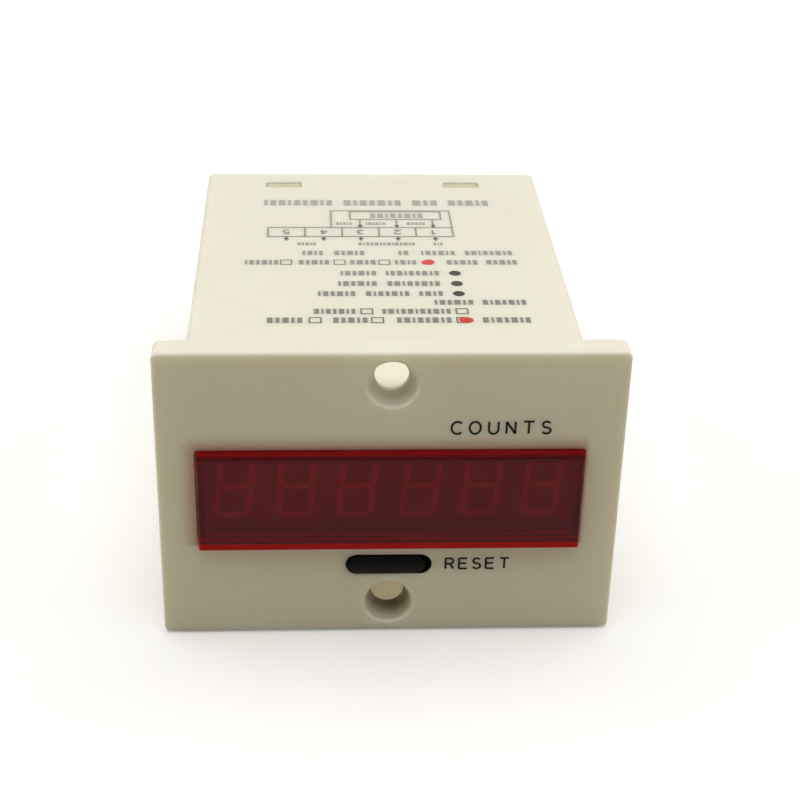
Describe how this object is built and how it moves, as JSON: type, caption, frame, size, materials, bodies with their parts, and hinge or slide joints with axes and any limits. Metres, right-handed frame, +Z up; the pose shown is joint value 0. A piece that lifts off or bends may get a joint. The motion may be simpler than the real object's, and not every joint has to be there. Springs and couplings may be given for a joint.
{
  "type": "panel counter",
  "caption": "Panel-mounted digital counter: ivory front plate moulded with its case, raised red display window, oblong reset push-button and rear screw terminals.",
  "frame": {"origin": "middle of the two panel screw holes, on the rear face of the front plate, where it meets the panel", "axes": "+Y into the panel, along the case; the display looks along -Y; +X to the right seen from the front; +Z up"},
  "size_m": [0.06, 0.0805, 0.042],
  "materials": {
    "ivory_plastic": "fine satin moulding",
    "cover_ivory": "fine satin moulding",
    "red_lens": "clear red, polished",
    "button_black": "satin",
    "module_dark": "smooth dark face",
    "segment_red": "milky red light pipe",
    "part_black": "moulded",
    "board_green": "lacquered board",
    "tinned": "tinned",
    "brass_pins": "plated",
    "brass_contacts": "stamped",
    "crystal_can": "drawn can",
    "resistor_beige": "lacquered",
    "ceramic_tan": "dipped",
    "capacitor_sleeve": "shrunk sleeve",
    "terminal_black": "moulded",
    "plated_steel": "bright plating"
  },
  "bodies": {
    "case": {"housing": "ivory_plastic", "display_lens": "red_lens", "rear_cover": "cover_ivory", "led_module_left": "module_dark", "led_module_right": "module_dark", "digit_segments_left": "segment_red", "digit_segments_right": "segment_red", "module_pins": "tinned", "display_board": "board_green", "switch_base": "part_black", "switch_cover": "tinned", "switch_legs": "tinned", "main_board": "board_green", "header_strip": "part_black", "header_pins": "brass_pins", "microcontroller": "part_black", "memory_chip": "part_black", "optocoupler": "part_black", "chip_legs": "tinned", "crystal": "crystal_can", "driver_transistors": "part_black", "resistors": "resistor_beige", "ceramic_capacitors": "ceramic_tan", "filter_capacitors": "capacitor_sleeve", "diodes": "part_black", "regulator_body": "part_black", "regulator_tab": "tinned", "terminal_block": "terminal_black", "terminal_contacts": "brass_contacts", "terminal_clamps": "plated_steel", "terminal_screws": "plated_steel"},
    "reset_button": {"reset_button": "button_black", "switch_plunger": "part_black"}
  },
  "joints": [
    {"name": "reset_press", "type": "slide", "parent": "case", "child": "reset_button", "axis": [0, 1, 0], "range_m": [0, 0.0006], "stiffness_N_per_m": 1500}
  ]
}
